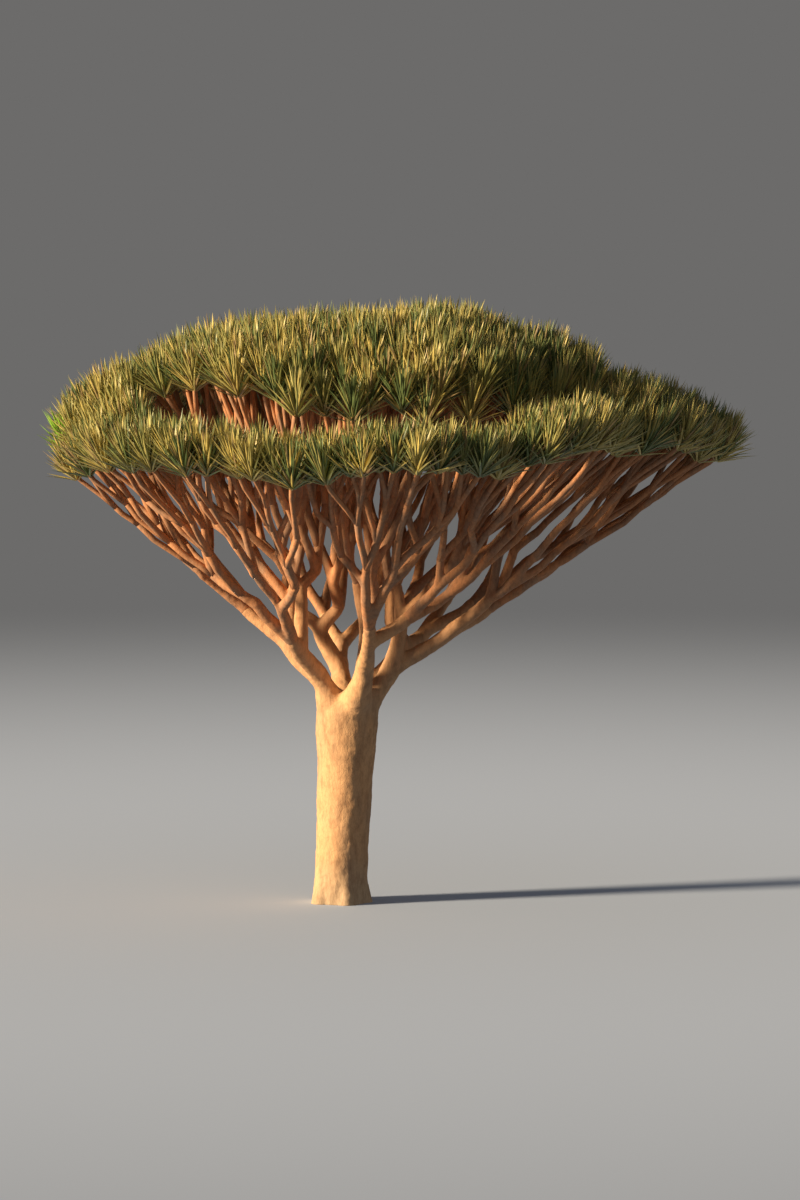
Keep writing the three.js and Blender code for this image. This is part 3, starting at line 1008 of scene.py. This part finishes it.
@dataclass(frozen=True)
class Rosettes:
    """The rosettes of stiff sword-shaped leaves, one on the end of each last twig."""

    leaves: int = 80
    length: tuple[float, float] = (0.3, 0.46)
    width: float = 0.03
    thickness: float = 0.008
    sides: int = 3
    pattern_width: float = math.sqrt(3)  # of a leaf's pattern: the side of the triangle it is extruded from
    # Share of the leaf's length, and how wide it is there beside its full width.
    outline: tuple[tuple[float, float], ...] = ((0, 0.66), (0.3, 1), (0.68, 0.68), (1, 0.1))
    lean: tuple[float, float] = (math.radians(3), math.radians(58))  # of the innermost and outermost leaf
    lean_bend: float = 1.5  # a higher power keeps more of the leaves upright
    lean_unevenness: float = math.radians(14)
    turn_unevenness: float = math.radians(18)
    bend: tuple[float, float] = (0.02, 0.12)  # how far a leaf's tip bends back, as a share of its length
    leafy_length: float = 0.17  # of the twig's end, that the leaves leave from
    knob: float = 0.022  # how far from the twig's middle they leave it
    upturn: float = 1.1  # how strongly a rosette turns up from its twig's heading
    mixing: float = 0.5  # how far the tints of one rosette's leaves lie apart, as a share of them all

    def model_leaf(self) -> Pattern:
        """Models one leaf of unit length: flat above, keeled below and drawn to a point."""
        return Pattern.taken_from(extrude_stem("leaf", self.sides, straight(self.outline), pointed=True))

    def places(self, twigs: Sequence[Limb], pattern: Pattern) -> np.ndarray:
        """Places every leaf.

        Args:
            twigs: The last twigs, one for each rosette.
            pattern: The leaf that is copied.

        Returns:
            The points of the leaves: an array of rosettes, leaves, points and coordinates.
        """
        tips = np.array([twig.point(1.0) for twig in twigs])
        headings = np.array([twig.arriving for twig in twigs])
        axes = np.array([(twig.arriving + UP * self.upturn).normalized() for twig in twigs])
        numbers = np.array([twig.number for twig in twigs])
        order = np.arange(self.leaves)
        key = numbers[:, None] * self.leaves + order
        outer = (order + 0.5) / self.leaves
        spin = 2 * np.pi * draw(numbers, Draw.SPIN)[:, None]
        turn = spin + order * GOLDEN_ANGLE + self.turn_unevenness * (draw(key, Draw.LEAF_TURN) - 0.5)
        lean = blend(*self.lean, outer**self.lean_bend)
        lean = lean + self.lean_unevenness * (draw(key, Draw.LEAF_LEAN) - 0.5)
        length = blend(*self.length, draw(key, Draw.LEAF_SIZE))
        bend = length * blend(*self.bend, draw(key, Draw.LEAF_BEND))

        east = np.cross(axes, (0.0, 1.0, 0.0))
        east /= np.linalg.norm(east, axis=1, keepdims=True)
        north = np.cross(axes, east)
        axis = axes[:, None]
        aside = np.cos(turn)[..., None] * east[:, None] + np.sin(turn)[..., None] * north[:, None]
        along = np.cos(lean)[..., None] * axis + np.sin(lean)[..., None] * aside
        below = np.cos(lean)[..., None] * aside - np.sin(lean)[..., None] * axis
        side = np.cross(below, along)
        root = tips[:, None] - headings[:, None] * (outer * self.leafy_length)[:, None] + aside * self.knob

        x, y, z = pattern.points.T
        reach = length[..., None] * z
        sag = self.thickness * y + bend[..., None] * z**2
        return (
            root[:, :, None]
            + side[:, :, None] * (x * self.width / self.pattern_width)[:, None]
            + along[:, :, None] * reach[..., None]
            + below[:, :, None] * sag[..., None]
        )

    def deal_tints(self, twigs: Sequence[Limb]) -> np.ndarray:
        """Deals the leaves their tints.

        Args:
            twigs: The last twigs, one for each rosette.

        Returns:
            The place in Tint's order of each leaf's tint: an array of rosettes and leaves.
        """
        numbers = np.array([twig.number for twig in twigs])[:, None]
        key = numbers * self.leaves + np.arange(self.leaves)
        mixed = (draw(numbers, Draw.TINT) + self.mixing * draw(key, Draw.LEAF_TINT)) % 1
        dealt = np.searchsorted(np.cumsum([tint.share for tint in Tint]), mixed)
        leftmost = min(range(len(twigs)), key=lambda index: twigs[index].point(1.0).x)
        dealt[leftmost] = list(Tint).index(Tint.FRESH)
        return dealt

    def build(self, limbs: Sequence[Limb]) -> dict[Tint, bpy.types.Object]:
        """Builds the leaves.

        Args:
            limbs: All the limbs of the tree.

        Returns:
            One object for each tint, still without a material.
        """
        twigs = [limb for limb in limbs if not limb.forks]
        pattern = self.model_leaf()
        places = self.places(twigs, pattern)
        dealt = self.deal_tints(twigs)
        pieces = {}
        for index, tint in enumerate(Tint):
            pieces[tint] = pattern.copies(f"leaves_{tint.name.lower()}", places[dealt == index])
        return pieces


def linear(hex_colour: str) -> tuple[float, float, float, float]:
    """Turns an sRGB hex colour, such as #C9956B, to linear RGBA."""
    channels = [int(hex_colour[start : start + 2], 16) / 255 for start in (1, 3, 5)]
    return (*(c / 12.92 if c <= 0.04045 else ((c + 0.055) / 1.055) ** 2.4 for c in channels), 1.0)


def per_metre(millimetres: float) -> float:
    """A texture's scale for features of this size."""
    return 1 / (millimetres * MILLIMETRE)


def add_node(
    tree: bpy.types.NodeTree,
    kind: str,
    inputs: dict[str | int, object] | None = None,
    links: dict[str | int, bpy.types.NodeSocket | None] | None = None,
    **settings: object,
) -> bpy.types.Node:
    """Adds a node to a node tree.

    Args:
        tree: The node tree.
        kind: The node's type.
        inputs: Values of its sockets, by name or number.
        links: Outputs that its sockets are linked to, by name or number. None leaves a socket its value.
        settings: Its other settings.

    Returns:
        The node.
    """
    node = tree.nodes.new(kind)
    for name, value in settings.items():
        setattr(node, name, value)
    for name, value in (inputs or {}).items():
        node.inputs[name].default_value = value
    for name, output in (links or {}).items():
        if output is not None:
            tree.links.new(output, node.inputs[name])
    return node


def new_tree(name: str) -> tuple[bpy.types.Material, bpy.types.NodeTree]:
    """Makes a new material with an empty node tree.

    Args:
        name: The material's name.

    Returns:
        The material and its node tree.
    """
    material = bpy.data.materials.new(name)
    material.use_nodes = True
    material.node_tree.nodes.clear()
    return material, material.node_tree


@dataclass(frozen=True)
class Fade:
    """How a layer shows by its pattern: not at all at one value of it, and most at another."""

    none_at: float
    most_at: float
    most: float = 1.0

    @property
    def inputs(self) -> dict[str, float]:
        """The settings of the node that works out how much of the layer shows."""
        return {"From Min": self.none_at, "From Max": self.most_at, "To Max": self.most}


@dataclass(frozen=True)
class SmoothCorkBark:
    """Bark of cork under a thin skin: dry and dull, tan with greyer patches and fine cracks."""

    name: str
    tan: str
    grey: str
    crack: str
    foot: str | None = None  # the colour that the lowest stretch of the trunk fades to
    foot_fade: Fade = Fade(0.5, 0.0, 0.8)  # by height in metres
    young: str | None = None  # the colour that the boughs fade to on their way up
    young_fade: Fade = Fade(2.3, 3.5, 0.8)
    patch_mm: float = 380.0
    patch_fade: Fade = Fade(0.42, 0.62)
    mottle_mm: float = 60.0
    mottle_fade: Fade = Fade(0.56, 0.3, 0.45)
    crack_mm: float = 26.0
    crack_fade: Fade = Fade(0.12, 0.0, 0.14)
    crack_stretch: float = 0.4  # streaks and cracks run up the trunk, this many times as wide as long
    groove: Fade = Fade(0.0, 0.09, 0.3)  # how the relief rises from a crack
    ring_mm: float = 301.6  # between the faint rings that fallen leaves left round the limb
    ring_relief: float = 0.5  # how high the rings stand beside the mottle
    roughness: float = 0.82
    bump: float = 0.005

    def make(self) -> bpy.types.Material:
        """Makes the material.

        Returns:
            The material.
        """
        material, tree = new_tree(self.name)
        place = add_node(tree, "ShaderNodeTexCoord").outputs["Object"]
        height = add_node(tree, "ShaderNodeSeparateXYZ", links={"Vector": place}).outputs["Z"]
        upright = add_node(
            tree, "ShaderNodeMapping", {"Scale": (1, 1, self.crack_stretch)}, {"Vector": place}
        ).outputs[0]
        patches, mottle = (
            add_node(
                tree,
                "ShaderNodeTexNoise",
                {"Scale": per_metre(size), "Detail": detail, "Roughness": fineness},
                {"Vector": upright},
            ).outputs["Fac"]
            for size, detail, fineness in ((self.patch_mm, 3.0, 0.6), (self.mottle_mm, 4.0, 0.65))
        )
        cracks = add_node(
            tree,
            "ShaderNodeTexVoronoi",
            {"Scale": per_metre(self.crack_mm)},
            {"Vector": upright},
            feature="DISTANCE_TO_EDGE",
        ).outputs["Distance"]
        rings = add_node(
            tree,
            "ShaderNodeTexWave",
            {
                "Scale": WAVE_LENGTH * per_metre(self.ring_mm),
                "Distortion": 5.0,
                "Detail": 2.0,
                "Detail Scale": 1.5,
            },
            {"Vector": place},
            bands_direction="Z",
        ).outputs["Fac"]

        base = None
        for pattern, fade, colour in (
            (patches, self.patch_fade, self.grey),
            (height, self.foot_fade, self.foot),
            (height, self.young_fade, self.young),
            (mottle, self.mottle_fade, self.crack),
            (cracks, self.crack_fade, self.crack),
        ):
            if colour:
                share = add_node(tree, "ShaderNodeMapRange", fade.inputs, {"Value": pattern}).outputs[0]
                base = add_node(
                    tree,
                    "ShaderNodeMix",
                    {MIX_UNDER: linear(self.tan), MIX_OVER: linear(colour)},
                    {0: share, MIX_UNDER: base},
                    data_type="RGBA",
                ).outputs[MIX_RESULT]

        groove = add_node(tree, "ShaderNodeMapRange", self.groove.inputs, {"Value": cracks}).outputs[0]
        relief = add_node(tree, "ShaderNodeMath", links={0: groove, 1: mottle}, operation="ADD").outputs[0]
        relief = add_node(
            tree, "ShaderNodeMath", {1: self.ring_relief}, {0: rings, 2: relief}, operation="MULTIPLY_ADD"
        ).outputs[0]
        normal = add_node(
            tree, "ShaderNodeBump", {"Strength": 0.7, "Distance": self.bump}, {"Height": relief}
        ).outputs[0]
        shader = add_node(
            tree,
            "ShaderNodeBsdfPrincipled",
            {"Roughness": self.roughness, "Specular IOR Level": 0.3},
            {"Base Color": base, "Normal": normal},
        )
        add_node(tree, "ShaderNodeOutputMaterial", links={"Surface": shader.outputs[0]})
        return material


@dataclass(frozen=True)
class WaxyLeaf:
    """A stiff leathery leaf with a waxy skin: half-dull gloss along the blade, slightly uneven colour."""

    name: str
    colour: str
    uneven_mm: float = 160.0
    uneven: float = 0.22  # how much lighter and darker the colour gets
    roughness: float = 0.46
    vein_mm: float = 9.0
    bump: float = 0.0012

    def make(self) -> bpy.types.Material:
        """Makes the material.

        Returns:
            The material.
        """
        material, tree = new_tree(self.name)
        place = add_node(tree, "ShaderNodeTexCoord").outputs["Object"]
        clouds, veins = (
            add_node(
                tree, "ShaderNodeTexNoise", {"Scale": per_metre(size), "Detail": detail}, {"Vector": place}
            ).outputs["Fac"]
            for size, detail in ((self.uneven_mm, 2.0), (self.vein_mm, 1.0))
        )
        value = add_node(
            tree,
            "ShaderNodeMapRange",
            {"From Min": 0.3, "From Max": 0.7, "To Min": 1 - self.uneven, "To Max": 1 + self.uneven},
            {"Value": clouds},
        ).outputs[0]
        colour = add_node(
            tree, "ShaderNodeHueSaturation", {"Color": linear(self.colour)}, {"Value": value}
        ).outputs[0]
        normal = add_node(
            tree, "ShaderNodeBump", {"Strength": 0.5, "Distance": self.bump}, {"Height": veins}
        ).outputs[0]
        shader = add_node(
            tree,
            "ShaderNodeBsdfPrincipled",
            {"Roughness": self.roughness, "Specular IOR Level": 0.45},
            {"Base Color": colour, "Normal": normal},
        )
        add_node(tree, "ShaderNodeOutputMaterial", links={"Surface": shader.outputs[0]})
        return material


@dataclass(frozen=True)
class Studio:
    """A plain floor that darkens to a backdrop, light from the left, and a long lens."""

    image: tuple[int, int] = (800, 1200)
    filled: float = 0.9  # share of the image's width that the tree fills
    elevation: float = math.radians(4.5)
    distance: float = 60.0
    sensor: float = 36.0
    floor_radius: float = 400.0
    floor_sides: int = 128
    floor: str = "#B0AEAB"  # as it comes out round the tree
    backdrop: str = "#6C6B6A"
    pale_radius: float = 8.0  # the floor is pale as far as this from the tree
    dim_radius: float = 40.0  # and as dim as the backdrop from here on
    key_colour: str = "#FFE4BC"
    key_strength: float = 7.6
    key_azimuth: float = math.radians(72)  # to the left of the camera
    key_elevation: float = math.radians(16)
    key_softness: float = math.radians(8)

    def floor_colour(self, wanted: str) -> tuple[float, float, float, float]:
        """Works back from a colour to the floor's own.

        Args:
            wanted: How the lit floor should come out, as an sRGB hex value.

        Returns:
            The colour that the floor needs for that, as linear RGBA.
        """
        falling = self.key_strength / math.pi * math.sin(self.key_elevation)
        trios = zip(linear(wanted)[:3], linear(self.backdrop)[:3], linear(self.key_colour)[:3])
        return (*(seen / (backdrop + falling * key) for seen, backdrop, key in trios), 1.0)

    def lay_floor(self) -> None:
        """Lays the floor at ground level. Far off it comes out as the backdrop, so it shows no edge."""
        deselect()
        bpy.ops.mesh.primitive_circle_add(
            vertices=self.floor_sides, radius=self.floor_radius, fill_type="NGON"
        )
        floor = bpy.context.object
        floor.name = "floor"
        floor.visible_diffuse = False  # only the key and the backdrop light the crown from below
        material, tree = new_tree("matt_paper_floor")  # paper shows no gloss at all
        place = add_node(tree, "ShaderNodeTexCoord").outputs["Object"]
        distance = add_node(
            tree, "ShaderNodeVectorMath", links={0: place}, operation="LENGTH"
        ).outputs["Value"]
        dimness = add_node(
            tree,
            "ShaderNodeMapRange",
            {"From Min": self.pale_radius, "From Max": self.dim_radius},
            {"Value": distance},
            interpolation_type="SMOOTHSTEP",
        ).outputs[0]
        colour = add_node(
            tree,
            "ShaderNodeMix",
            {MIX_UNDER: self.floor_colour(self.floor), MIX_OVER: self.floor_colour(self.backdrop)},
            {0: dimness},
            data_type="RGBA",
        ).outputs[MIX_RESULT]
        shader = add_node(
            tree,
            "ShaderNodeBsdfPrincipled",
            {"Roughness": 1.0, "Specular IOR Level": 0.0},
            {"Base Color": colour},
        )
        add_node(tree, "ShaderNodeOutputMaterial", links={"Surface": shader.outputs[0]})
        floor.data.materials.append(material)
        floor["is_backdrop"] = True

    def light(self) -> None:
        """Lights the tree by the backdrop all round it and by a broad warm light from the left."""
        world = bpy.data.worlds.new("backdrop")
        world.use_nodes = True
        world.node_tree.nodes.clear()
        glow = add_node(world.node_tree, "ShaderNodeBackground", {"Color": linear(self.backdrop)})
        add_node(world.node_tree, "ShaderNodeOutputWorld", links={"Surface": glow.outputs[0]})
        bpy.context.scene.world = world
        bpy.context.scene.view_settings.view_transform = "Standard"
        bpy.ops.object.light_add(type="SUN")
        key = bpy.context.object
        key.name = "key_light"
        key.data.energy = self.key_strength
        key.data.angle = self.key_softness
        key.data.color = linear(self.key_colour)[:3]
        towards = Vector(
            (
                -math.sin(self.key_azimuth) * math.cos(self.key_elevation),
                -math.cos(self.key_azimuth) * math.cos(self.key_elevation),
                math.sin(self.key_elevation),
            )
        )
        key.rotation_euler = towards.to_track_quat("Z", "Y").to_euler()

    def place_camera(self, low: Vector, high: Vector) -> None:
        """Places the camera so that the tree fills its share of the image's width.

        Args:
            low: The lowest corner of the tree's box.
            high: The highest corner.
        """
        bpy.ops.object.camera_add()
        camera = bpy.context.object
        back = Vector((0, -math.cos(self.elevation), math.sin(self.elevation)))
        camera.location = (low + high) / 2 + back * self.distance
        camera.rotation_euler = back.to_track_quat("Z", "Y").to_euler()
        width, height = self.image
        seen_height = (high.x - low.x) / self.filled * height / width
        camera.data.sensor_width = self.sensor  # along the image's longer side
        camera.data.lens = self.sensor * self.distance / seen_height
        camera.data.clip_end = 2 * self.floor_radius
        bpy.context.scene.camera = camera


def main() -> None:
    """Builds the tree and its studio, and writes what it measures."""
    logging.basicConfig(level=logging.INFO, format="%(name)s: %(message)s")
    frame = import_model()
    cad_low, cad_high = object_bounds()
    studio = Studio()
    studio.place_camera(cad_low, cad_high)
    studio.light()
    studio.lay_floor()

    growth = Growth()
    boughs = growth.grow()
    limbs = [limb for bough in boughs for limb in bough.walk()]
    LOG.info("%d limbs, %d of them with a rosette", len(limbs), sum(not limb.forks for limb in limbs))
    masses = [name for name in frame["nodes"] if name.startswith("leaf_mass")]
    wooden = [name for name in frame["nodes"] if name not in masses]

    trunk_bark = SmoothCorkBark(
        "smooth_cork_bark", "#E6B687", "#D0A984", "#80533A", foot="#CFB899", young="#D0976C"
    )
    branch_bark = SmoothCorkBark(
        "young_cork_bark",
        "#D3966A",
        "#B58E72",
        "#6E4330",
        patch_mm=220,
        mottle_mm=35,
        crack_mm=20,
        bump=0.003,
    )
    young = branch_bark.make()
    set_down(TrunkAndBoughs().build(growth, limbs), wooden, trunk_bark.make())
    branches = Branches()
    right, left = boughs[: branches.right_boughs], boughs[branches.right_boughs :]
    for name, side in (("branches_right", right), ("branches_left", left)):
        grown = [limb for bough in side for limb in bough.walk()]
        set_down(branches.build_branches(name, grown), masses, young)
    set_down(branches.build_twigs(limbs), masses, young)
    for tint, leaves in Rosettes().build(limbs).items():
        set_down(leaves, masses, WaxyLeaf(f"waxy_leaf_{tint.name.lower()}", tint.colour).make())


if __name__ == "__main__":
    main()
